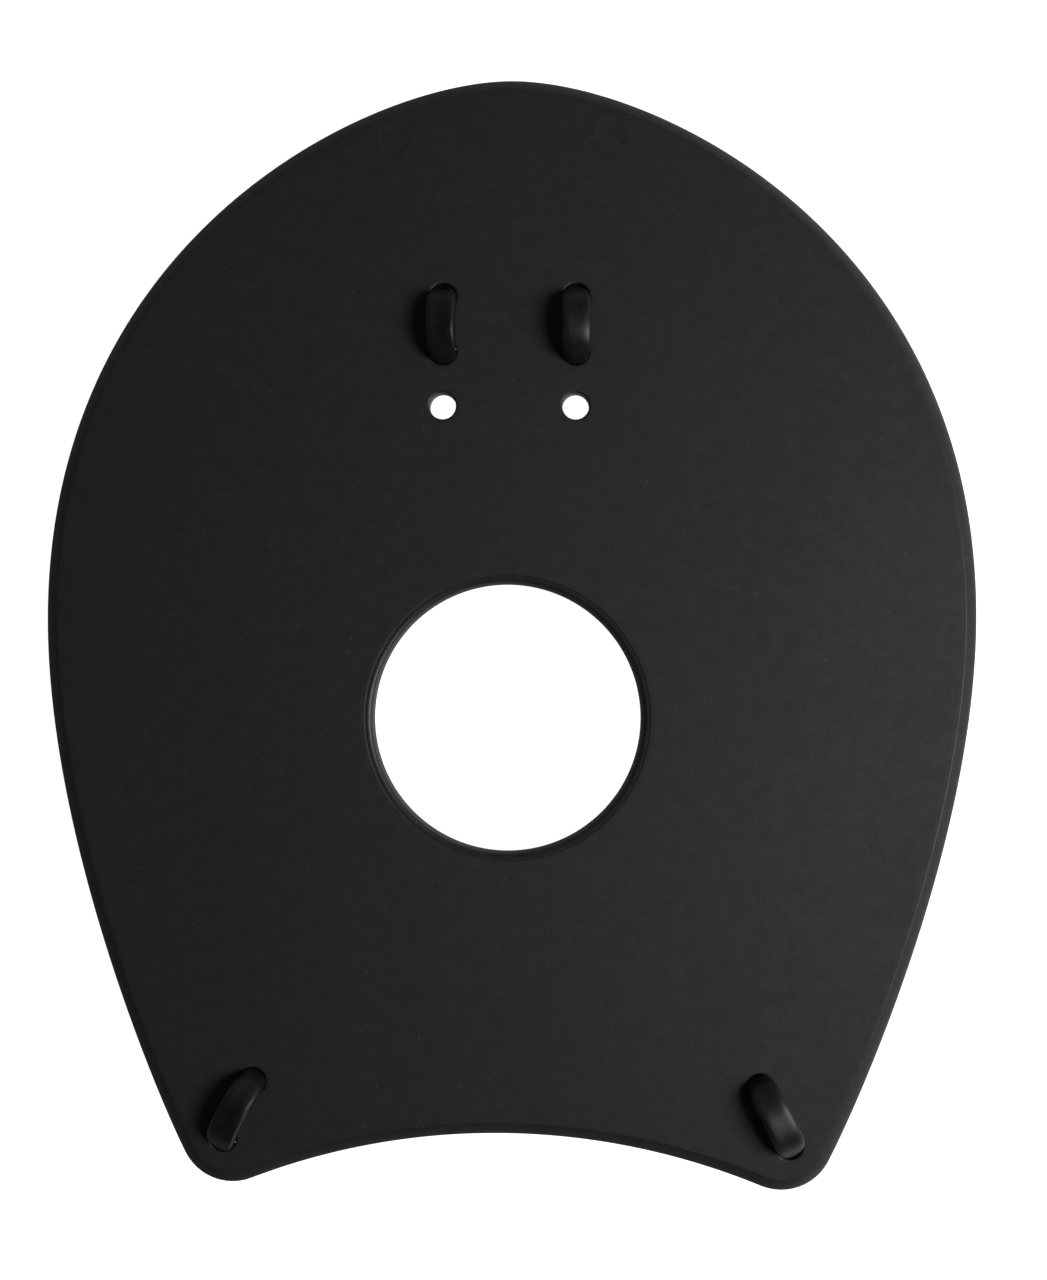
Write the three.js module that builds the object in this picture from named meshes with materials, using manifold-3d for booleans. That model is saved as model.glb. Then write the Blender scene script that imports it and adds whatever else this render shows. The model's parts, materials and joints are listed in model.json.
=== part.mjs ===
import * as THREE from "three";
import { mergeVertices } from "three/addons/utils/BufferGeometryUtils.js";
import Module from "manifold-3d";

// A hand paddle for swim training: one moulded plate with two rubber tubes threaded through it.
// +X runs across the hand, +Y towards the fingertips, and +Z out of the face that pushes the water.
// The paddle lies with that face up and stands on the four free ends of its tubes, with the
// origin on the surface below the middle of its outline. All lengths are in millimetres.

// Plate
const PADDLE_LENGTH = 208;
const PADDLE_WIDTH = 175;
const PLATE_THICKNESS = 3.5;
const EDGE_LAND = 0.3;
const EDGE_CHAMFER_WIDTH = 2.2;
const WIDEST_Y = 3;
const TIP_SPREAD = 103;
const TIP_RADIUS = 10;
const WRIST_HOLLOW = 9.8;
const FLANK_ANGLE = THREE.MathUtils.degToRad(27);

// How far each stretch of the side keeps its first direction, as a share of the height or
// the half width that it rounds
const FLANK_FULLNESS = 0.12;
const WAIST_FULLNESS = 0.41;
const SHOULDER_FULLNESS = 0.71;
const CROWN_FULLNESS = 0.31;

// Hole in the middle, where the palm feels the water
const CENTRE_HOLE_DIAMETER = 50;
const CENTRE_HOLE_Y = -16.2;

// Tubes and the holes that they run through
const TUBE_DIAMETER = 4.5;
const TUBE_BORE = 2;
const HOLE_CLEARANCE = 0.25;
const HOLE_CHAMFER = 0.4;
const BRIDGE_GAP = 1.75;
const BRIDGE_INNER_RADIUS = 0.95;
const LOOP_DEPTH = 23.4;
const STANDING_GAP = 0.6;
const HINGE_GAP = 0.3;
const TAIL_BEND_RADIUS = 90;

// Finger strap: columns of holes either side of the middle finger, with a spare row
const FINGER_COLUMN_PITCH = 25;
const FINGER_ROW_PITCH = 10.25;
const FINGER_ROWS = 3;
const SPARE_ROW_Y = 42.3;

// Wrist strap: a pair of holes at each tip, in line with the flank
const WRIST_HOLE_OUTSET = 1.4;
const WRIST_HOLE_DROP = 1.3;
const WRIST_PAIR_PITCH = 12;
const WRIST_BEND_RADIUS = 9;
const WRIST_BOW_ANGLE = THREE.MathUtils.degToRad(12);

// Fineness of the round stretches
const HOLE_SIDES = 20;
const CENTRE_HOLE_SIDES = 44;
const TUBE_SIDES = 12;
const BORE_SIDES = 8;
const LOOP_STEP = 3.2;
const BRIDGE_STEP = 1.3;

// Lengths that follow from the ones above
const EDGE_CHAMFER_HEIGHT = (PLATE_THICKNESS - EDGE_LAND) / 2;
const TUBE_RADIUS = TUBE_DIAMETER / 2;
const HOLE_RADIUS = TUBE_RADIUS + HOLE_CLEARANCE;
const HAND_FACE_Z = LOOP_DEPTH + STANDING_GAP;
const HINGE_DROP = TUBE_RADIUS + HINGE_GAP;
const TIP = new THREE.Vector2(TIP_SPREAD / 2, TIP_RADIUS - PADDLE_LENGTH / 2);
const WRIST_EXIT = new THREE.Vector2(TIP.x + WRIST_HOLE_OUTSET, TIP.y - WRIST_HOLE_DROP);
const WRIST_RETURN = new THREE.Vector2(
  WRIST_EXIT.x - WRIST_PAIR_PITCH * Math.sin(FLANK_ANGLE),
  WRIST_EXIT.y + WRIST_PAIR_PITCH * Math.cos(FLANK_ANGLE),
);
const FINGER_EXIT = new THREE.Vector2(FINGER_COLUMN_PITCH / 2, SPARE_ROW_Y + FINGER_ROW_PITCH);

const plateMaterial = new THREE.MeshStandardMaterial({ color: 0x2a2a2b, roughness: 0.48, metalness: 0 });
const rubberMaterial = new THREE.MeshStandardMaterial({ color: 0x16161b, roughness: 0.32, metalness: 0 });

const wasm = await Module();
wasm.setup();

// A closed three.js geometry as a solid that can be joined and cut.
function solidOf(geometry) {
  const bare = geometry.clone();
  bare.deleteAttribute("normal");
  bare.deleteAttribute("uv");
  const merged = mergeVertices(bare, 1e-4);
  return new wasm.Manifold(
    new wasm.Mesh({
      numProp: 3,
      vertProperties: merged.attributes.position.array,
      triVerts: new Uint32Array(merged.index.array),
    }),
  );
}

// A solid's surface as a three.js geometry, flat shaded.
function geometryOf(solid) {
  const { vertProperties, triVerts } = solid.getMesh();
  const indexed = new THREE.BufferGeometry();
  indexed.setAttribute("position", new THREE.BufferAttribute(vertProperties, 3));
  indexed.setIndex(new THREE.BufferAttribute(triVerts, 1));
  const flat = indexed.toNonIndexed();
  flat.computeVertexNormals();
  return flat;
}

function namedMesh(name, geometry, material) {
  const mesh = new THREE.Mesh(geometry, material);
  mesh.name = name;
  return mesh;
}

// The right half of the plate's outline, from the middle of the wrist edge to the top.
// The wrist edge is an arc that meets the round tip without a corner.
function halfOutline() {
  const top = PADDLE_LENGTH / 2;
  const side = PADDLE_WIDTH / 2;
  const wristRadius =
    (TIP.x ** 2 + WRIST_HOLLOW ** 2 - 2 * TIP_RADIUS * WRIST_HOLLOW) / (2 * WRIST_HOLLOW);
  const wristCentreY = WRIST_HOLLOW - top - wristRadius;
  const touchAngle = Math.atan2(TIP.y - wristCentreY, TIP.x);
  const tipEnd = new THREE.Vector2(
    TIP.x + TIP_RADIUS * Math.cos(FLANK_ANGLE),
    TIP.y - TIP_RADIUS * Math.sin(FLANK_ANGLE),
  );
  const flankHeight = WIDEST_Y - tipEnd.y;
  const domeHeight = top - WIDEST_Y;
  const flankHandle = FLANK_FULLNESS * flankHeight;
  const wristEdge = new THREE.EllipseCurve(
    0, wristCentreY, wristRadius, wristRadius, Math.PI / 2, touchAngle, true,
  );
  const tip = new THREE.EllipseCurve(
    TIP.x, TIP.y, TIP_RADIUS, TIP_RADIUS, touchAngle + Math.PI, 2 * Math.PI - FLANK_ANGLE, false,
  );
  const flank = new THREE.CubicBezierCurve(
    tipEnd,
    new THREE.Vector2(
      tipEnd.x + flankHandle * Math.sin(FLANK_ANGLE),
      tipEnd.y + flankHandle * Math.cos(FLANK_ANGLE),
    ),
    new THREE.Vector2(side, WIDEST_Y - WAIST_FULLNESS * flankHeight),
    new THREE.Vector2(side, WIDEST_Y),
  );
  const dome = new THREE.CubicBezierCurve(
    new THREE.Vector2(side, WIDEST_Y),
    new THREE.Vector2(side, WIDEST_Y + SHOULDER_FULLNESS * domeHeight),
    new THREE.Vector2(CROWN_FULLNESS * side, top),
    new THREE.Vector2(0, top),
  );
  return [
    ...wristEdge.getPoints(9).slice(0, -1),
    ...tip.getPoints(8).slice(0, -1),
    ...flank.getPoints(11).slice(0, -1),
    ...dome.getPoints(16),
  ];
}

// The outline's two ends lie on the middle line, so the mirrored half leaves them out.
function plateShape() {
  const right = halfOutline();
  const left = right.slice(1, -1).reverse().map((p) => new THREE.Vector2(-p.x, p.y));
  const shape = new THREE.Shape([...right, ...left]);
  const hole = new THREE.EllipseCurve(
    0, CENTRE_HOLE_Y, CENTRE_HOLE_DIAMETER / 2, CENTRE_HOLE_DIAMETER / 2,
  );
  shape.holes.push(new THREE.Path(hole.getPoints(CENTRE_HOLE_SIDES).slice(0, -1)));
  return shape;
}

// Places of every hole that a tube can run through.
function tubeHoles() {
  const right = [WRIST_EXIT, WRIST_RETURN];
  for (let row = 0; row < FINGER_ROWS; row++)
    right.push(new THREE.Vector2(FINGER_EXIT.x, SPARE_ROW_Y + row * FINGER_ROW_PITCH));
  return right.flatMap((p) => [p, new THREE.Vector2(-p.x, p.y)]);
}

// The tool that cuts one tube hole, with a chamfer at both faces of the plate.
function holeCutter() {
  const past = 1;
  const mouth = HOLE_RADIUS + HOLE_CHAMFER + past;
  const profile = [
    [0, -past],
    [mouth, -past],
    [HOLE_RADIUS, HOLE_CHAMFER],
    [HOLE_RADIUS, PLATE_THICKNESS - HOLE_CHAMFER],
    [mouth, PLATE_THICKNESS + past],
    [0, PLATE_THICKNESS + past],
  ].map(([x, y]) => new THREE.Vector2(x, y));
  return new THREE.LatheGeometry(profile, HOLE_SIDES).rotateX(Math.PI / 2);
}

function paddlePlate() {
  const blank = new THREE.ExtrudeGeometry(plateShape(), {
    depth: EDGE_LAND,
    bevelThickness: EDGE_CHAMFER_HEIGHT,
    bevelSize: EDGE_CHAMFER_WIDTH,
    bevelOffset: -EDGE_CHAMFER_WIDTH,
    bevelSegments: 1,
  }).translate(0, 0, EDGE_CHAMFER_HEIGHT);
  let plate = solidOf(blank);
  for (const { x, y } of tubeHoles())
    plate = plate.subtract(solidOf(holeCutter().translate(x, y, 0)));
  const mesh = namedMesh("paddle_plate", geometryOf(plate), plateMaterial);
  mesh.position.z = HAND_FACE_Z;
  return mesh;
}

// A flat path stood upright: its first coordinate runs along X and its second along Z.
class UprightCurve extends THREE.Curve {
  constructor(path) {
    super();
    this.path = path;
  }
  getPoint(t, target = new THREE.Vector3()) {
    const { x, y } = this.path.getPoint(t);
    return target.set(x, 0, y);
  }
}

// A solid round bar, or a tube where a bore is given, along an upright path. `step` is the
// length of one facet.
function roundAlong(path, radius, sides, step, bore = 0) {
  const circle = (r, n) => new THREE.EllipseCurve(0, 0, r, r).getPoints(n).slice(0, -1);
  const section = new THREE.Shape(circle(radius, sides));
  if (bore) section.holes.push(new THREE.Path(circle(bore / 2, BORE_SIDES)));
  return new THREE.ExtrudeGeometry(section, {
    steps: Math.ceil(path.getLength() / step),
    extrudePath: new UprightCurve(path),
  });
}

// The end of a tube: up through one hole, over the plate, down through the next hole at
// `pitch` along X, and out into a tail whose end stands on the surface below.
function tubeEndPath(pitch) {
  const crown = PLATE_THICKNESS + BRIDGE_GAP + TUBE_RADIUS;
  const bend = BRIDGE_INNER_RADIUS + TUBE_RADIUS;
  const lean = Math.asin(HAND_FACE_Z / (TAIL_BEND_RADIUS + TUBE_RADIUS));
  return new THREE.Path()
    .moveTo(0, 0)
    .lineTo(0, crown - bend)
    .absarc(bend, crown - bend, bend, Math.PI, Math.PI / 2, true)
    .lineTo(pitch - bend, crown)
    .absarc(pitch - bend, crown - bend, bend, Math.PI / 2, 0, true)
    .lineTo(pitch, 0)
    .absarc(pitch + TAIL_BEND_RADIUS, 0, TAIL_BEND_RADIUS, Math.PI, Math.PI + lean, false);
}

// A tube end whose group stands at the exit hole and turns towards the hole it returns by.
function tubeEnd(name, exit, back) {
  const place = new THREE.Group();
  place.position.set(exit.x, exit.y, HAND_FACE_Z);
  place.rotation.z = Math.atan2(back.y - exit.y, back.x - exit.x);
  const path = tubeEndPath(exit.distanceTo(back));
  const tube = roundAlong(path, TUBE_RADIUS, TUBE_SIDES, BRIDGE_STEP, TUBE_BORE);
  place.add(namedMesh(name, tube, rubberMaterial));
  return place;
}

// A loop hangs below the hand face from two ball ends on its hinge line, `half` either side
// of the middle. `trace` draws its path from the left ball down to the right one.
function tubeLoop(name, half, y, trace) {
  const outer = trace(new THREE.Path().moveTo(-half, 0)).lineTo(half, 0);
  const past = new THREE.Path().moveTo(-half, HINGE_DROP);
  const inner = trace(past).lineTo(half, HINGE_DROP);
  const ball = new THREE.SphereGeometry(TUBE_RADIUS, TUBE_SIDES, TUBE_SIDES / 2).rotateX(Math.PI / 2);
  const loop = solidOf(roundAlong(outer, TUBE_RADIUS, TUBE_SIDES, LOOP_STEP))
    .add(solidOf(ball.clone().translate(-half, 0, 0)))
    .add(solidOf(ball.clone().translate(half, 0, 0)))
    .subtract(solidOf(roundAlong(inner, TUBE_BORE / 2, BORE_SIDES, LOOP_STEP)));
  const mesh = namedMesh(name, geometryOf(loop), rubberMaterial);
  mesh.position.set(0, y, HAND_FACE_Z - HINGE_DROP);
  return mesh;
}

// Depth of a loop's path below its hinge line.
const LOOP_DROP = LOOP_DEPTH - HINGE_DROP - TUBE_RADIUS;

// The finger loop is a U: two straight legs and a half circle.
function fingerLoop() {
  const half = FINGER_EXIT.x;
  const leg = LOOP_DROP - half;
  return tubeLoop("finger_tube_loop", half, FINGER_EXIT.y, (path) =>
    path.lineTo(-half, -leg).absarc(0, -leg, half, Math.PI, 2 * Math.PI, false),
  );
}

// The wrist loop turns in below each hole and bows gently between the two bends.
function wristLoop() {
  const half = WRIST_EXIT.x;
  const bend = WRIST_BEND_RADIUS;
  const bow = (half - bend) / Math.sin(WRIST_BOW_ANGLE) + bend;
  const bowCentre = bow - LOOP_DROP;
  const leg = (bow - bend) * Math.cos(WRIST_BOW_ANGLE) - bowCentre;
  const down = 1.5 * Math.PI;
  return tubeLoop("wrist_tube_loop", half, WRIST_EXIT.y, (path) =>
    path
      .lineTo(-half, -leg)
      .absarc(bend - half, -leg, bend, Math.PI, down - WRIST_BOW_ANGLE, false)
      .absarc(0, bowCentre, bow, down - WRIST_BOW_ANGLE, down + WRIST_BOW_ANGLE, false)
      .absarc(half - bend, -leg, bend, down + WRIST_BOW_ANGLE, 2 * Math.PI, false),
  );
}

// The four tube ends: each strap has one to the left and one to the right.
function tubeEnds() {
  const straps = {
    finger: [FINGER_EXIT, new THREE.Vector2(FINGER_EXIT.x, FINGER_EXIT.y + FINGER_ROW_PITCH)],
    wrist: [WRIST_EXIT, WRIST_RETURN],
  };
  const sides = { left: -1, right: 1 };
  const ends = [];
  for (const [strap, [exit, back]] of Object.entries(straps))
    for (const [side, sign] of Object.entries(sides)) {
      const from = new THREE.Vector2(sign * exit.x, exit.y);
      const to = new THREE.Vector2(sign * back.x, back.y);
      ends.push(tubeEnd(`${strap}_tube_${side}_end`, from, to));
    }
  return ends;
}

const paddle = new THREE.Group();
paddle.add(paddlePlate(), fingerLoop(), wristLoop(), ...tubeEnds());

export default paddle;
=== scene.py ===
"""A swimming hand paddle seen from above: a black moulded plate, its water face up, with a
finger loop and a wrist loop of rubber tube threaded through its holes."""

import json
import math
from dataclasses import dataclass

import bpy
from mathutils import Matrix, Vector, kdtree
from mathutils.geometry import delaunay_2d_cdt


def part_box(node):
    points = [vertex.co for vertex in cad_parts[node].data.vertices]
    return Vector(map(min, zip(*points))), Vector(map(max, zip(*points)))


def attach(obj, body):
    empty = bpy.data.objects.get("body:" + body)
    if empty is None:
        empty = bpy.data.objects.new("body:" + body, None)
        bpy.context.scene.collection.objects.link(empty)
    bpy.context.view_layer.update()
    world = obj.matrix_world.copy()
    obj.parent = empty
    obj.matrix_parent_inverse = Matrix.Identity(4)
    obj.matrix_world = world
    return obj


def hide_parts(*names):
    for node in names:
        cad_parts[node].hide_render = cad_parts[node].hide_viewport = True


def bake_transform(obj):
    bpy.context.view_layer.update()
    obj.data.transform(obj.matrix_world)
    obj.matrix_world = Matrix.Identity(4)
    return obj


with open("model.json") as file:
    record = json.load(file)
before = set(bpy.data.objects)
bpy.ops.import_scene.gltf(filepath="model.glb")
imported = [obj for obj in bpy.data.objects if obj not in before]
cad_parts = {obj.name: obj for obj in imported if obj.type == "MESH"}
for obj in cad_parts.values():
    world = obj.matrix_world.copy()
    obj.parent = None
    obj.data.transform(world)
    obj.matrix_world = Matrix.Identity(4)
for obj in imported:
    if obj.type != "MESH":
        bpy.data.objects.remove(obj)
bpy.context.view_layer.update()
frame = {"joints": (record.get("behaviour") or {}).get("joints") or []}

# Shapes are worked out in millimetres and turn into metres when a mesh is made.
MM = 0.001

plate_lo, plate_hi = (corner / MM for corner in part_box("paddle_plate"))
HAND_FACE_Z = plate_lo.z
WATER_FACE_Z = plate_hi.z
PLATE_THICKNESS = WATER_FACE_Z - HAND_FACE_Z

# Plate outline. Each stretch is worked out closely first, then all of it in even steps.
TIP_SPREAD = 103
TIP_RADIUS = 10
WRIST_HOLLOW = 9.8
WIDEST_Y = 3
FLANK_ANGLE = math.radians(27)
FLANK_FULLNESS = 0.12
WAIST_FULLNESS = 0.41
SHOULDER_FULLNESS = 0.71
CROWN_FULLNESS = 0.31
WRIST_EDGE_POINTS = 200
TIP_POINTS = 80
FLANK_POINTS = 300
SHOULDER_POINTS = 400
OUTLINE_STEP = 1.2

# Plate edges: a small break where the face ends, a polished fall, then a narrow upright land
EDGE_LAND = 0.3
EDGE_WIDTH = 2.2
EDGE_BREAK_DROP = 0.06
EDGE_BREAK_WIDTH = 0.2
EDGE_STRAIGHTNESS = 0.75
CENTRE_HOLE_EDGE_WIDTH = 1.75
CENTRE_HOLE_ROLL = 4
EDGE_FACETS = 10
RIM_LAND = 0.9
CAP_GRID = 5

# Holes. The small ones are placed on the right half, and the left half mirrors them.
CENTRE_HOLE_RADIUS = 25
CENTRE_HOLE_Y = -16.2
TUBE_HOLE_RADIUS = 2.5
HOLE_LIP = 0.4
HOLE_LIP_FACETS = 4
HOLE_LIP_LAND = 0.5
HOLE_SIDES = 48
CENTRE_HOLE_SIDES = 160
FINGER_COLUMN_X = 12.5
SPARE_ROW_Y = 42.3
FINGER_ROW_PITCH = 10.25
WRIST_PAIR_PITCH = 12
ALONG_FLANK = Vector((-math.sin(FLANK_ANGLE), math.cos(FLANK_ANGLE)))
SPARE_HOLE = Vector((FINGER_COLUMN_X, SPARE_ROW_Y))
FINGER_EXIT = Vector((FINGER_COLUMN_X, SPARE_ROW_Y + FINGER_ROW_PITCH))
FINGER_RETURN = Vector((FINGER_COLUMN_X, SPARE_ROW_Y + 2 * FINGER_ROW_PITCH))
WRIST_EXIT = Vector((52.9, -95.3))
WRIST_RETURN = WRIST_EXIT + ALONG_FLANK * WRIST_PAIR_PITCH

# Round witness marks that the mould leaves in the water face, near the top edge
WITNESS_PLACES = (-24.5, 21.5)
WITNESS_INSET = 6.7
WITNESS_RADIUS = 2.8
WITNESS_DEPTH = 0.035
WITNESS_LAND = 0.25
WITNESS_SLOPE = 0.12
WITNESS_FLOOR_INSET = 0.4

# Rubber tube
TUBE_RADIUS = 2.25
BORE_RADIUS = 1
TUBE_SIDES = 40
CUT_EDGE = 0.15

# How a bend squeezes the tube, as shares of its radius and of its roundness
SQUEEZE_WIDENS = 0.27
SQUEEZE_THINS = 0.2
OUTSIDE_BLUNTS = 0.72
INSIDE_BLUNTS = 0.2

# The tube swells to fill its hole, from just below the plate to well under the water face
SNUG_RADIUS = 2.44
SNUG_BELOW = 0.5
SNUG_DEPTH = 1.8
SNUG_SHOULDER = 0.9

# Loops on the hand side. Inside its exit hole, each meets the ends that ride on the plate.
SEAM_Z = HAND_FACE_Z + 1.4
SEAM_GAP = 0.1
LOOP_STEP = 0.8
FINGER_BEND_POINTS = 90
WRIST_BEND_RADIUS = 9
WRIST_BEND_POINTS = 40
WRIST_BOW_ANGLE = math.radians(12)
WRIST_BOW_POINTS = 120

# Bridges over the water face and tails below the plate. Counts are of their stations.
SPRING_Z = WATER_FACE_Z - 0.4
MOUTH_SQUEEZE = 0.3
RISER_COUNT = 5
BRIDGE_COUNT = 56
BRIDGE_ROUNDNESS = 0.9
CROWN_ROUNDNESS = 0.85
LEAN_GATHER = 1.5
SQUEEZE_ONSET = 1.3
RETURN_SQUEEZE = 0.6
THROUGH_COUNT = 8
CENTRING_COUNT = 6
TAIL_COUNT = 32
TAIL_BEND_RADIUS = 90

# Materials. Greys are linear, and bumps are in metres.
PLATE_DARK = 0.014
PLATE_LIGHT = 0.018
PLATE_SCUFFED = 0.07
PLATE_SCUFF_SHARE = 0.35
PLATE_ROUGHNESS = (0.69, 0.65)
PLATE_SHEEN_SPOT = 0.012
POLISHED_ROUGHNESS = 0.4
PLATE_IOR = 1.5
RUBBER_DARK = 0.0075
RUBBER_LIGHT = 0.0125
RUBBER_DUSTY = 0.06
RUBBER_DUST_SHARE = 0.25
RUBBER_ROUGHNESS = (0.34, 0.46)
RUBBER_IOR = 1.42

# Stage, in metres and degrees
FLOOR_SIZE = 6
FLOOR_DROP = 0.0005
CAMERA_HEIGHT = 0.262
CAMERA_X = 0.00985
CAMERA_Y = -0.0038
CAMERA_TURN = (0.49, 1.50, 0.33)
CAMERA_LENS = 39.4
CAMERA_NEAREST = 0.01
KEY_ANGLE = 42
KEY_SWING = -12
KEY_DISTANCE = 0.55
KEY_SIZE = 0.3
KEY_POWER = 1.75
ROOM_LIGHT = 0.03
WALL_LIGHT = 0.3
WINDOW_LIGHT = 0.1
HORIZON_LIGHT = 0.09
TABLE_LIGHT = (0.05, 1.0)


@dataclass
class Bridge:
    """How a tube's end crosses the plate between its two holes, in millimetres and degrees."""

    start: float  # shift of the foot in the exit hole, towards the return hole
    back: float  # shift of the foot in the return hole, the same way
    rise: float  # height of the crown over the feet
    lean: float  # shift of the crown to the right as the fingers point up
    twist: float  # turn of the broad face to the left
    dish: float  # how far the broad face has sunk
    squeeze: float  # how much the bend has flattened the tube, from 0 to 1


BRIDGES = {
    "finger_tube_left_end": Bridge(
        start=-0.35, back=-0.45, rise=4.5, lean=-0.1, twist=10, dish=0.55, squeeze=0.85
    ),
    "finger_tube_right_end": Bridge(
        start=-0.35, back=-0.45, rise=4.4, lean=-0.1, twist=-5, dish=0.15, squeeze=0.92
    ),
    "wrist_tube_left_end": Bridge(
        start=0.1, back=0.1, rise=4.6, lean=-0.35, twist=12, dish=0.5, squeeze=0.8
    ),
    "wrist_tube_right_end": Bridge(
        start=0.25, back=0.3, rise=4.5, lean=0.35, twist=-7, dish=0.25, squeeze=0.95
    ),
}


def outline_bezier(start, start_handle, end_handle, end, count):
    """Points along a cubic Bezier curve, without its start."""
    found = []
    for i in range(1, count + 1):
        t = i / count
        s = 1 - t
        found.append(
            s**3 * start + 3 * s * s * t * start_handle + 3 * s * t * t * end_handle + t**3 * end
        )
    return found


def outline_arc(centre, radius, start, end, count):
    """Points along an arc from one angle to another, both ends included."""
    angles = [start + (end - start) * i / count for i in range(count + 1)]
    return [centre + radius * Vector((math.cos(a), math.sin(a))) for a in angles]


def evenly(points, step):
    """The same open line with its points about one step apart."""
    lengths = [0.0]
    for a, b in zip(points, points[1:]):
        lengths.append(lengths[-1] + (b - a).length)
    count = round(lengths[-1] / step)
    found, at = [], 0
    for i in range(count + 1):
        want = lengths[-1] * i / count
        while at < len(points) - 2 and lengths[at + 1] < want:
            at += 1
        share = (want - lengths[at]) / (lengths[at + 1] - lengths[at])
        found.append(points[at].lerp(points[at + 1], share))
    return found


def half_outline():
    """The right half of the outline, from the middle of the wrist edge up to the top."""
    top = plate_hi.y
    side = plate_hi.x
    tip = Vector((TIP_SPREAD / 2, TIP_RADIUS - top))
    hollow = WRIST_HOLLOW
    wrist_radius = (tip.x**2 + hollow**2 - 2 * TIP_RADIUS * hollow) / (2 * hollow)
    wrist_centre = Vector((0, hollow - top - wrist_radius))
    touch = math.atan2(tip.y - wrist_centre.y, tip.x)
    points = outline_arc(wrist_centre, wrist_radius, math.pi / 2, touch, WRIST_EDGE_POINTS)
    points += outline_arc(tip, TIP_RADIUS, touch - math.pi, -FLANK_ANGLE, TIP_POINTS)[1:]
    start = points[-1]
    waist = Vector((side, WIDEST_Y))
    flank_height = waist.y - start.y
    lean = Vector((math.sin(FLANK_ANGLE), math.cos(FLANK_ANGLE)))
    up = Vector((0, 1))
    points += outline_bezier(
        start,
        start + lean * FLANK_FULLNESS * flank_height,
        waist - up * WAIST_FULLNESS * flank_height,
        waist,
        FLANK_POINTS,
    )
    crown = Vector((0, top))
    points += outline_bezier(
        waist,
        waist + up * SHOULDER_FULLNESS * (top - waist.y),
        crown + Vector((CROWN_FULLNESS * side, 0)),
        crown,
        SHOULDER_POINTS,
    )
    return evenly(points, OUTLINE_STEP)


def plate_outline():
    """The whole outline as a closed ring, anticlockwise from the middle of the wrist edge."""
    right = half_outline()
    left = [Vector((-p.x, p.y)) for p in reversed(right[1:-1])]
    return right + left


def circle(centre, radius, sides):
    """A closed clockwise ring, so that material is on the same side of it as of the outline."""
    angles = [-2 * math.pi * i / sides for i in range(sides)]
    return [centre + radius * Vector((math.cos(a), math.sin(a))) for a in angles]


def inset(ring, distance):
    """The ring moved into the material, which lies to the left of its direction."""
    found = []
    for i, p in enumerate(ring):
        along = (ring[(i + 1) % len(ring)] - ring[i - 1]).normalized()
        found.append(p + Vector((-along.y, along.x)) * distance)
    return found


class Skin:
    """Vertices and faces of one mesh, in millimetres, and which vertices are polished."""

    def __init__(self):
        self.points = []
        self.faces = []
        self.polished = set()

    def ring(self, ring, z):
        """Adds a flat closed ring and returns its vertex numbers."""
        return self.loop([Vector((p.x, p.y, z)) for p in ring])

    def loop(self, points):
        """Adds points and returns their vertex numbers."""
        first = len(self.points)
        self.points.extend(points)
        return list(range(first, len(self.points)))

    def bridge(self, a, b):
        """Joins two rings of as many points with four-sided faces."""
        for i in range(len(a)):
            j = (i + 1) % len(a)
            self.faces.append((a[i], a[j], b[j], b[i]))

    def tower(self, rings):
        """Joins each ring to the next."""
        for a, b in zip(rings, rings[1:]):
            self.bridge(a, b)


def placed(name, data):
    """A new object in the scene."""
    thing = bpy.data.objects.new(name, data)
    bpy.context.scene.collection.objects.link(thing)
    return thing


def mesh_piece(name, skin, material):
    """A smooth-shaded object in metres from a skin in millimetres."""
    mesh = bpy.data.meshes.new(name)
    mesh.from_pydata([p * MM for p in skin.points], [], skin.faces)
    mesh.polygons.foreach_set("use_smooth", [True] * len(mesh.polygons))
    mesh.materials.append(material)
    return placed(name, mesh)


def chamfered(a):
    """The outer edge's fall, from 0 to 1: a chamfer that rounds off a little at the land."""
    return EDGE_STRAIGHTNESS * math.sin(a) + (1 - EDGE_STRAIGHTNESS) * (1 - math.cos(a))


def rolled(a):
    """The centre hole's fall, from 0 to 1: almost flat, then rolling over into the hole."""
    return math.sin(a) ** CENTRE_HOLE_ROLL


def edge_profile(width, fall):
    """The plate's edge from the water face down to its middle, as (inset, drop) pairs."""
    profile = [
        (width + EDGE_BREAK_WIDTH + RIM_LAND, 0),
        (width + EDGE_BREAK_WIDTH, 0),
        (width + EDGE_BREAK_WIDTH / 2, EDGE_BREAK_DROP / 4),
        (width, EDGE_BREAK_DROP),
    ]
    depth = (PLATE_THICKNESS - EDGE_LAND) / 2 - EDGE_BREAK_DROP
    for i in range(1, EDGE_FACETS + 1):
        a = math.pi / 2 * i / EDGE_FACETS
        profile.append((width * (1 - math.sin(a)), EDGE_BREAK_DROP + depth * fall(a)))
    return profile


def lip_profile():
    """A tube hole's small rounded lip, as (inset, drop) pairs."""
    profile = [(HOLE_LIP + HOLE_LIP_LAND, 0), (HOLE_LIP, 0)]
    for i in range(1, HOLE_LIP_FACETS + 1):
        a = math.pi / 2 * i / HOLE_LIP_FACETS
        profile.append((HOLE_LIP * (1 - math.sin(a)), HOLE_LIP * (1 - math.cos(a))))
    return profile


def wall(skin, ring, profile):
    """The plate's surface along one edge, face to face. Returns its ring on each face.
    The mould is polished where it forms an edge, so the points off the faces are marked."""
    top = [skin.ring(inset(ring, d), WATER_FACE_Z - drop) for d, drop in profile]
    bottom = [skin.ring(inset(ring, d), HAND_FACE_Z + drop) for d, drop in reversed(profile)]
    for numbers, (_, drop) in zip(top + bottom, profile + profile[::-1]):
        if drop:
            skin.polished.update(numbers)
    skin.tower(list(reversed(top + bottom)))
    return top[0], bottom[-1]


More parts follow.
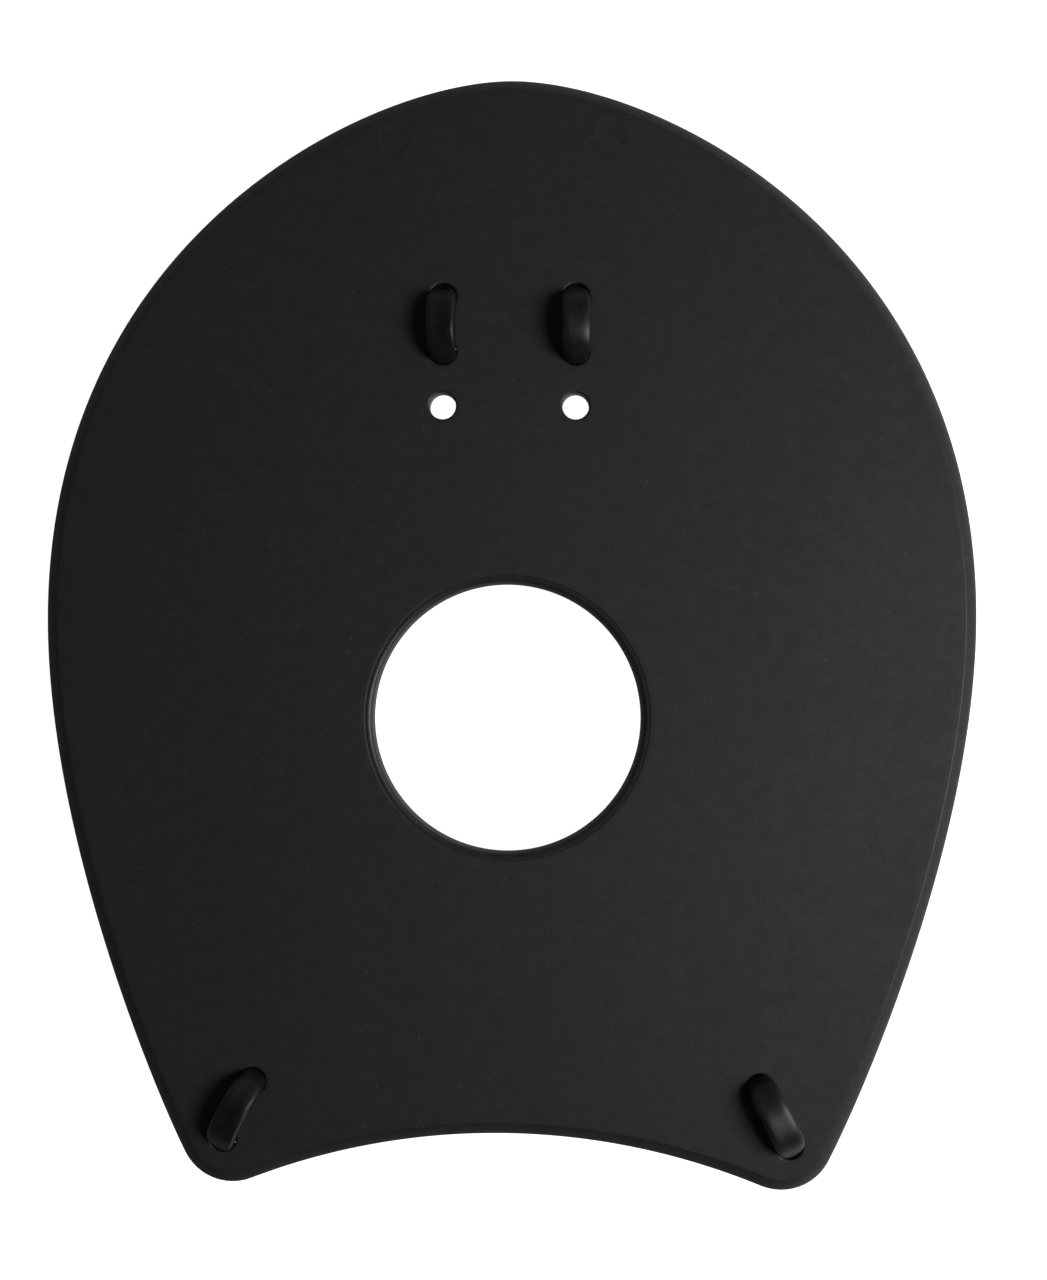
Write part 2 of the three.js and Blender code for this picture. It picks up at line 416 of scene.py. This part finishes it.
def inside(point, ring):
    """Whether a point lies inside a closed ring."""
    odd = False
    for a, b in zip(ring, ring[1:] + ring[:1]):
        if (a.y > point.y) != (b.y > point.y):
            if point.x < a.x + (point.y - a.y) * (b.x - a.x) / (b.y - a.y):
                odd = not odd
    return odd


def grid_points(outline, holes, boundary):
    """Points of a square grid inside the outline and clear of every boundary point."""
    tree = kdtree.KDTree(len(boundary))
    for i, p in enumerate(boundary):
        tree.insert((p.x, p.y, 0), i)
    tree.balance()
    found = []
    columns = int(plate_hi.x / CAP_GRID)
    rows = int(plate_hi.y / CAP_GRID)
    for i in range(-columns, columns + 1):
        for j in range(-rows, rows + 1):
            p = Vector((i * CAP_GRID, j * CAP_GRID))
            near = tree.find((p.x, p.y, 0))[2]
            if near > CAP_GRID / 2 and inside(p, outline):
                if not any(inside(p, hole) for hole in holes):
                    found.append(p)
    return found


def cap(skin, outer, holes, z, up):
    """Fills a face between its outer ring and its holes with triangles, facing up or down."""
    flat = [[Vector(skin.points[i][:2]) for i in ring] for ring in [outer, *holes]]
    boundary = [p for ring in flat for p in ring]
    inner = skin.loop([Vector((*p, z)) for p in grid_points(flat[0], flat[1:], boundary)])
    numbers = [i for ring in [outer, *holes] for i in ring] + inner
    places = [Vector(skin.points[i][:2]) for i in numbers]
    edges, first = [], 0
    for ring in flat:
        edges += [(first + i, first + (i + 1) % len(ring)) for i in range(len(ring))]
        first += len(ring)
    points, _, triangles, origins, _, _ = delaunay_2d_cdt(places, edges, [], 1, 1e-5)
    for triangle in triangles:
        middle = sum((points[i] for i in triangle), Vector((0, 0))) / 3
        if any(inside(middle, hole) for hole in flat[1:]):
            continue
        face = [numbers[origins[i][0]] for i in triangle]
        a, b, c = (points[i] for i in triangle)
        if ((b - a).cross(c - a) > 0) != up:
            face.reverse()
        skin.faces.append(tuple(face))


def witness_mark(skin, centre):
    """A shallow round mark in the water face. Returns the ring that the face meets."""
    steps = [
        (WITNESS_LAND, 0),
        (0, 0),
        (-WITNESS_SLOPE, WITNESS_DEPTH),
        (-WITNESS_FLOOR_INSET, WITNESS_DEPTH),
    ]
    rings = []
    for spread, depth in steps:
        ring = circle(centre, WITNESS_RADIUS + spread, HOLE_SIDES)
        rings.append(skin.ring(ring, WATER_FACE_Z - depth))
    skin.tower(list(reversed(rings)))
    cap(skin, rings[-1], [], WATER_FACE_Z - WITNESS_DEPTH, True)
    return rings[0]


def witness_centres(outline):
    """The marks' centres, each the same way in from the top edge."""
    inner = inset(outline, WITNESS_INSET)
    top = [(p, q) for p, q in zip(outline, inner) if p.y > 0]
    return [min(top, key=lambda pair: abs(pair[0].x - x))[1] for x in WITNESS_PLACES]


def tube_hole_centres():
    """The small holes of both halves. The spare pair has no tube in it."""
    centres = []
    for p in (SPARE_HOLE, FINGER_EXIT, FINGER_RETURN, WRIST_EXIT, WRIST_RETURN):
        centres += [p, Vector((-p.x, p.y))]
    return centres


def paddle_plate(material):
    """The moulded plate, with its chamfered outline, its holes and its witness marks."""
    skin = Skin()
    outline = plate_outline()
    outer_top, outer_bottom = wall(skin, outline, edge_profile(EDGE_WIDTH, chamfered))
    centre_hole = circle(Vector((0, CENTRE_HOLE_Y)), CENTRE_HOLE_RADIUS, CENTRE_HOLE_SIDES)
    hole_edge = edge_profile(CENTRE_HOLE_EDGE_WIDTH, rolled)
    hole_rings = [wall(skin, centre_hole, hole_edge)]
    for centre in tube_hole_centres():
        hole = circle(centre, TUBE_HOLE_RADIUS, HOLE_SIDES)
        hole_rings.append(wall(skin, hole, lip_profile()))
    marks = [witness_mark(skin, centre) for centre in witness_centres(outline)]
    cap(skin, outer_top, [top for top, _ in hole_rings] + marks, WATER_FACE_Z, True)
    cap(skin, outer_bottom, [bottom for _, bottom in hole_rings], HAND_FACE_Z, False)
    plate = mesh_piece("moulded_plate", skin, material)
    polish = plate.data.attributes.new("polish", "FLOAT", "POINT")
    polish.data.foreach_set("value", [i in skin.polished for i in range(len(skin.points))])
    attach(plate, "paddle")
    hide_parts("paddle_plate")


@dataclass
class Station:
    """A tube's shape at one point of its centreline."""

    point: Vector
    flatness: float = 0
    twist: float = 0
    dish: float = 0
    radius: float = TUBE_RADIUS


def tube_section(station, radius):
    """Points round a tube squeezed by a bend, as (across, out) pairs. A flatness of 0 is
    round; the side away from the bend's middle sinks by the dish and leaves two ridges."""
    flatness = station.flatness
    wide = radius * (1 + SQUEEZE_WIDENS * flatness)
    thick = radius * (1 - SQUEEZE_THINS * flatness)
    outer_power = 1 - OUTSIDE_BLUNTS * flatness
    inner_power = 1 - INSIDE_BLUNTS * flatness
    dish = station.dish * flatness * radius / TUBE_RADIUS
    found = []
    for i in range(TUBE_SIDES):
        a = 2 * math.pi * i / TUBE_SIDES
        across = wide * math.cos(a)
        out = math.sin(a)
        if out > 0:
            found.append((across, thick * out**outer_power - dish * out**3))
        else:
            found.append((across, -thick * abs(out) ** inner_power))
    return found


def hollow_tube(name, stations, side, material):
    """A closed hollow tube through the stations. Its `grain` attribute holds where each point
    would be if the tube were straight and round."""
    skin = Skin()
    grain = []
    outer, inner = [], []
    run = 0
    last = len(stations) - 1
    for i, station in enumerate(stations):
        point = station.point
        ahead = stations[min(i + 1, last)].point - stations[max(i - 1, 0)].point
        along = ahead.normalized()
        across = (side - along * side.dot(along)).normalized()
        out = across.cross(along)
        turned = across * math.cos(station.twist) + out * math.sin(station.twist)
        lifted = out * math.cos(station.twist) - across * math.sin(station.twist)
        if i:
            run += (point - stations[i - 1].point).length
        cut = CUT_EDGE if i in (0, last) else 0
        for radius, rings in ((station.radius - cut, outer), (BORE_RADIUS, inner)):
            section = tube_section(station, radius)
            rings.append(skin.loop([point + turned * s + lifted * o for s, o in section]))
            for j in range(TUBE_SIDES):
                a = 2 * math.pi * j / TUBE_SIDES
                grain.append((radius * math.cos(a), radius * math.sin(a), run))
    skin.tower(outer + list(reversed(inner)) + [outer[0]])
    tube = mesh_piece(name, skin, material)
    attribute = tube.data.attributes.new("grain", "FLOAT_VECTOR", "POINT")
    attribute.data.foreach_set("vector", [x for g in grain for x in g])
    return tube


def smooth_step(t):
    """Eases from 0 to 1 as t does, and stays there."""
    t = min(max(t, 0), 1)
    return t * t * (3 - 2 * t)


def snug_radius(z):
    """The tube swells to fill its hole and is slimmer on either side."""
    below = smooth_step((z - HAND_FACE_Z + SNUG_BELOW) / SNUG_SHOULDER)
    above = smooth_step((WATER_FACE_Z - SNUG_DEPTH - z) / SNUG_SHOULDER)
    return TUBE_RADIUS + (SNUG_RADIUS - TUBE_RADIUS) * min(below, above)


def bridge_stations(exit, back, bridge):
    """The tube from inside the exit hole, over the plate and down to the return hole's mouth,
    with its directions ahead and to the right."""
    span = back - exit
    ahead = Vector((*span.normalized(), 0))
    right = ahead.cross(Vector((0, 0, 1)))
    foot = Vector((*exit, 0))
    start = bridge.start
    half = (span.length + bridge.back - start) / 2
    stations = []
    for i in range(RISER_COUNT):
        share = i / RISER_COUNT
        z = SEAM_Z + (SPRING_Z - SEAM_Z) * share
        point = foot + ahead * start * share + Vector((0, 0, z))
        stations.append(Station(point, flatness=MOUTH_SQUEEZE * share, radius=snug_radius(z)))
    for i in range(BRIDGE_COUNT + 1):
        a = math.pi * i / BRIDGE_COUNT
        c = math.cos(a)
        s = max(math.sin(a), 0)
        along = start + half * (1 - math.copysign(abs(c) ** BRIDGE_ROUNDNESS, c))
        z = SPRING_Z + bridge.rise * s**CROWN_ROUNDNESS
        bent = smooth_step(SQUEEZE_ONSET * s)
        flatness = MOUTH_SQUEEZE + (bridge.squeeze - MOUTH_SQUEEZE) * bent
        if c < 0:
            flatness = max(flatness, RETURN_SQUEEZE * bridge.squeeze)
        stations.append(
            Station(
                foot + ahead * along + right * bridge.lean * s**LEAN_GATHER + Vector((0, 0, z)),
                flatness=flatness,
                twist=math.radians(bridge.twist) * s**2,
                dish=bridge.dish,
                radius=snug_radius(z),
            )
        )
    return stations, ahead, right


def tail_stations(back, ahead, shift, mouth):
    """The tube from the return hole's mouth down to the surface that the paddle stands on."""
    foot = Vector((*back, 0))
    stations = []
    for i in range(1, THROUGH_COUNT + 1):
        share = smooth_step(i / CENTRING_COUNT)
        z = SPRING_Z - (SPRING_Z - HAND_FACE_Z) * i / THROUGH_COUNT
        stations.append(
            Station(
                foot + ahead * shift * (1 - share) + Vector((0, 0, z)),
                flatness=mouth.flatness * (1 - share),
                dish=mouth.dish,
                radius=snug_radius(z),
            )
        )
    lean = math.asin(HAND_FACE_Z / (TAIL_BEND_RADIUS + TUBE_RADIUS))
    for i in range(1, TAIL_COUNT + 1):
        a = lean * i / TAIL_COUNT
        away = TAIL_BEND_RADIUS * (1 - math.cos(a))
        z = HAND_FACE_Z - TAIL_BEND_RADIUS * math.sin(a)
        point = foot + ahead * away + Vector((0, 0, z))
        stations.append(Station(point, radius=snug_radius(z)))
    return stations


def tube_end(name, exit, back, material):
    """One end of a strap: its bridge over the plate and its tail below."""
    bridge = BRIDGES[name]
    stations, ahead, right = bridge_stations(exit, back, bridge)
    stations += tail_stations(back, ahead, bridge.back, stations[-1])
    end = hollow_tube(name + "_rubber", stations, right, material)
    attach(end, "paddle")
    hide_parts(name)


def finger_loop_line(drop, seam):
    """The finger loop's centreline as (x, height over its hinge line) points."""
    half = FINGER_COLUMN_X
    leg = drop - half
    line = [Vector((-half, seam)), Vector((-half, -leg))]
    bend = outline_arc(Vector((0, -leg)), half, math.pi, 2 * math.pi, FINGER_BEND_POINTS)
    line += bend[1:]
    return line + [Vector((half, seam))]


def wrist_loop_line(drop, seam):
    """The wrist loop's centreline: in below each hole, then one gentle bow across."""
    half = WRIST_EXIT.x
    bend = WRIST_BEND_RADIUS
    bow = (half - bend) / math.sin(WRIST_BOW_ANGLE) + bend
    bow_centre = bow - drop
    leg = (bow - bend) * math.cos(WRIST_BOW_ANGLE) - bow_centre
    down = 1.5 * math.pi
    first = down - WRIST_BOW_ANGLE
    last = down + WRIST_BOW_ANGLE
    line = [Vector((-half, seam)), Vector((-half, -leg))]
    arcs = (
        (Vector((bend - half, -leg)), bend, math.pi, first, WRIST_BEND_POINTS),
        (Vector((0, bow_centre)), bow, first, last, WRIST_BOW_POINTS),
        (Vector((half - bend, -leg)), bend, last, 2 * math.pi, WRIST_BEND_POINTS),
    )
    for arc in arcs:
        line += outline_arc(*arc)[1:]
    return line + [Vector((half, seam))]


def tube_loop(name, line_of, y, body, material):
    """A strap's loop on the hand side, hung from the height of its joint's hinge."""
    lo, _ = (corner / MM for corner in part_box(name))
    joint = next(j for j in frame["joints"] if j["child"] == body)
    hinge_z = joint["pos_m"][2] / MM
    drop = hinge_z - lo.z - TUBE_RADIUS
    line = evenly(line_of(drop, SEAM_Z - SEAM_GAP - hinge_z), LOOP_STEP)
    points = [Vector((p.x, y, hinge_z + p.y)) for p in line]
    stations = [Station(p, radius=snug_radius(p.z)) for p in points]
    loop = hollow_tube(name + "_rubber", stations, Vector((0, 1, 0)), material)
    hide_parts(name)
    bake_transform(loop)


def straps(material):
    """Both rubber straps. Each is one tube: two ends in its holes and a loop between them."""
    pairs = {"finger": (FINGER_EXIT, FINGER_RETURN), "wrist": (WRIST_EXIT, WRIST_RETURN)}
    for strap, holes in pairs.items():
        for side, sign in (("left", -1), ("right", 1)):
            exit, back = (Vector((sign * p.x, p.y)) for p in holes)
            tube_end(f"{strap}_tube_{side}_end", exit, back, material)
    tube_loop("finger_tube_loop", finger_loop_line, FINGER_EXIT.y, "finger_loop", material)
    tube_loop("wrist_tube_loop", wrist_loop_line, WRIST_EXIT.y, "wrist_loop", material)


class Nodes:
    """Short ways to add and join nodes in one node tree."""

    def __init__(self, tree):
        self.tree = tree
        tree.nodes.clear()

    def add(self, kind, inputs=None, **settings):
        node = self.tree.nodes.new(kind)
        for key, value in settings.items():
            setattr(node, key, value)
        for key, value in (inputs or {}).items():
            if isinstance(value, bpy.types.NodeSocket):
                self.tree.links.new(value, node.inputs[key])
            else:
                node.inputs[key].default_value = value
        return node

    def noise(self, where, scale, detail, roughness, distortion=0):
        node = self.add(
            "ShaderNodeTexNoise",
            {
                "Vector": where,
                "Scale": scale,
                "Detail": detail,
                "Roughness": roughness,
                "Distortion": distortion,
            },
        )
        return node.outputs["Fac"]

    def scaled(self, where, scale):
        node = self.add("ShaderNodeMapping", {"Vector": where, "Scale": scale})
        return node.outputs["Vector"]

    def span(self, value, low, high, to_low=0.0, to_high=1.0):
        """Value between low and high spread over to_low and to_high, smoothly."""
        node = self.add(
            "ShaderNodeMapRange",
            {
                "Value": value,
                "From Min": low,
                "From Max": high,
                "To Min": to_low,
                "To Max": to_high,
            },
            interpolation_type="SMOOTHSTEP",
        )
        return node.outputs["Result"]

    def maths(self, operation, a, b):
        node = self.add("ShaderNodeMath", {0: a, 1: b}, operation=operation)
        return node.outputs[0]

    def colour_mix(self, share, a, b):
        """Colour a turning into b. Only their numbers tell the node's colour sockets apart."""
        node = self.add("ShaderNodeMix", {0: share, 6: a, 7: b}, data_type="RGBA")
        return node.outputs[2]

    def bump(self, height, strength, distance, under=None):
        inputs = {"Height": height, "Strength": strength, "Distance": distance}
        if under is not None:
            inputs["Normal"] = under
        return self.add("ShaderNodeBump", inputs).outputs["Normal"]

    def surface(self, inputs):
        """Ends the tree with a Principled shader."""
        shader = self.add("ShaderNodeBsdfPrincipled", inputs)
        self.add("ShaderNodeOutputMaterial", {"Surface": shader.outputs["BSDF"]})


def grey(level, blue=0.0):
    """A grey, with its blue raised by a share."""
    return (level, level, level * (1 + blue), 1)


def new_material(name):
    """A material and the nodes to fill it with."""
    material = bpy.data.materials.new(name)
    material.use_nodes = True
    return material, Nodes(material.node_tree)


def plate_material():
    """Black moulded plastic: a fine matt grain, soft patches of sheen, small scuffs."""
    material, n = new_material("black_moulded_plastic")
    where = n.add("ShaderNodeTexCoord").outputs["Object"]
    patches = n.noise(where, scale=28, detail=4, roughness=0.6)
    mottle = n.noise(where, scale=330, detail=3, roughness=0.6)
    grain = n.noise(where, scale=1900, detail=2, roughness=0.55)
    along = n.scaled(where, (1.0, 3.2, 1.0))
    scuff_lines = n.noise(along, scale=420, detail=2, roughness=0.6, distortion=1.2)
    scuffs = n.span(scuff_lines, 0.66, 0.74)
    flecks = n.span(n.noise(where, scale=900, detail=2, roughness=0.5), 0.7, 0.76)
    marks = n.maths("MAXIMUM", n.maths("MULTIPLY", scuffs, 0.5), flecks)
    base = n.colour_mix(n.span(mottle, 0.35, 0.65), grey(PLATE_DARK), grey(PLATE_LIGHT))
    scuffed = n.maths("MULTIPLY", marks, PLATE_SCUFF_SHARE)
    colour = n.colour_mix(scuffed, base, grey(PLATE_SCUFFED))
    sheen_spots = n.span(mottle, 0.3, 0.7, PLATE_SHEEN_SPOT, -PLATE_SHEEN_SPOT)
    polish = n.add("ShaderNodeAttribute", attribute_name="polish").outputs["Fac"]
    matt = n.maths("ADD", n.span(patches, 0.3, 0.7, *PLATE_ROUGHNESS), sheen_spots)
    roughness = n.span(polish, 0.0, 1.0, matt, POLISHED_ROUGHNESS)
    fine = n.bump(grain, strength=0.6, distance=0.00005)
    relief = n.bump(mottle, strength=0.1, distance=0.0001, under=fine)
    n.surface({"Base Color": colour, "Roughness": roughness, "Normal": relief, "IOR": PLATE_IOR})
    return material


def rubber_material():
    """Soft blue-black rubber tube: faint lines from extrusion, a little bloom and dust. Its
    scales are per millimetre, because the `grain` attribute is in millimetres."""
    material, n = new_material("black_rubber_tube")
    where = n.add("ShaderNodeAttribute", attribute_name="grain").outputs["Vector"]
    drawn_out = n.scaled(where, (1.0, 1.0, 0.06))
    lines = n.noise(drawn_out, scale=2.6, detail=3, roughness=0.6)
    bloom = n.noise(n.scaled(where, (1.0, 1.0, 0.5)), scale=0.45, detail=4, roughness=0.6)
    pores = n.noise(where, scale=9, detail=2, roughness=0.5)
    dust = n.span(n.noise(where, scale=3.1, detail=2, roughness=0.5), 0.68, 0.74)
    bloomed = n.span(bloom, 0.35, 0.7)
    base = n.colour_mix(bloomed, grey(RUBBER_DARK, blue=0.35), grey(RUBBER_LIGHT, blue=0.3))
    dusty = n.maths("MULTIPLY", dust, RUBBER_DUST_SHARE)
    colour = n.colour_mix(dusty, base, grey(RUBBER_DUSTY))
    roughness = n.span(bloom, 0.3, 0.7, *RUBBER_ROUGHNESS)
    fine = n.bump(pores, strength=0.12, distance=0.00003)
    relief = n.bump(lines, strength=0.25, distance=0.00008, under=fine)
    n.surface({"Base Color": colour, "Roughness": roughness, "Normal": relief, "IOR": RUBBER_IOR})
    return material


def camera():
    """Straight above the plate, a little to the right of its middle."""
    data = bpy.data.cameras.new("camera")
    data.lens = CAMERA_LENS
    data.clip_start = CAMERA_NEAREST
    cam = placed("camera", data)
    cam.location = (CAMERA_X, CAMERA_Y, WATER_FACE_Z * MM + CAMERA_HEIGHT)
    cam.rotation_euler = [math.radians(a) for a in CAMERA_TURN]
    bpy.context.scene.camera = cam


def floor():
    """A wide white light table. It isn't mirrored in the plate's gloss."""
    half = FLOOR_SIZE / 2
    mesh = bpy.data.meshes.new("floor")
    corners = [(-half, -half, 0), (half, -half, 0), (half, half, 0), (-half, half, 0)]
    mesh.from_pydata(corners, [], [(0, 1, 2, 3)])
    material, n = new_material("white_table")
    glow = {"Emission Color": grey(1.0), "Emission Strength": 1.0}
    n.surface({"Base Color": grey(0.8), "Roughness": 0.9, **glow})
    mesh.materials.append(material)
    table = placed("floor", mesh)
    table.location.z = -FLOOR_DROP
    table.visible_glossy = False


def key_light():
    """One soft round light, above and to the right."""
    data = bpy.data.lights.new("key", "AREA")
    data.shape = "DISK"
    data.size = KEY_SIZE
    data.energy = KEY_POWER
    light = placed("key", data)
    tilt = math.radians(KEY_ANGLE)
    swing = math.radians(KEY_SWING)
    towards = Vector(
        (math.sin(tilt) * math.cos(swing), math.sin(tilt) * math.sin(swing), math.cos(tilt))
    )
    light.location = Vector((0, 0, WATER_FACE_Z * MM)) + towards * KEY_DISTANCE
    light.rotation_euler = towards.to_track_quat("Z", "Y").to_euler()


def surroundings():
    """A dim room, with a pale wall to the right, a little light from beyond the fingers and
    from the horizon, and the light table below."""
    world = bpy.data.worlds.new("room")
    world.use_nodes = True
    n = Nodes(world.node_tree)
    where = n.add("ShaderNodeTexCoord").outputs["Generated"]
    sides = n.add("ShaderNodeSeparateXYZ", {"Vector": where}).outputs
    right_wall = n.span(sides["X"], 0.3, 0.95, 0.0, WALL_LIGHT)
    window = n.span(sides["Y"], 0.1, 0.6, 0.0, WINDOW_LIGHT)
    horizon = n.span(sides["Z"], 0.05, 0.5, HORIZON_LIGHT, 0.0)
    below = n.span(sides["Z"], -0.05, 0.08, 1.0, 0.0)
    table = n.maths("MULTIPLY", below, n.span(sides["X"], -0.3, 0.8, *TABLE_LIGHT))
    strength = ROOM_LIGHT
    for part in (right_wall, window, horizon, table):
        strength = n.maths("ADD", part, strength)
    background = n.add("ShaderNodeBackground", {"Strength": strength})
    n.add("ShaderNodeOutputWorld", {"Surface": background.outputs["Background"]})
    bpy.context.scene.world = world


def main():
    camera()
    paddle_plate(plate_material())
    straps(rubber_material())
    floor()
    key_light()
    surroundings()
    bpy.context.scene.view_settings.view_transform = "Standard"


main()
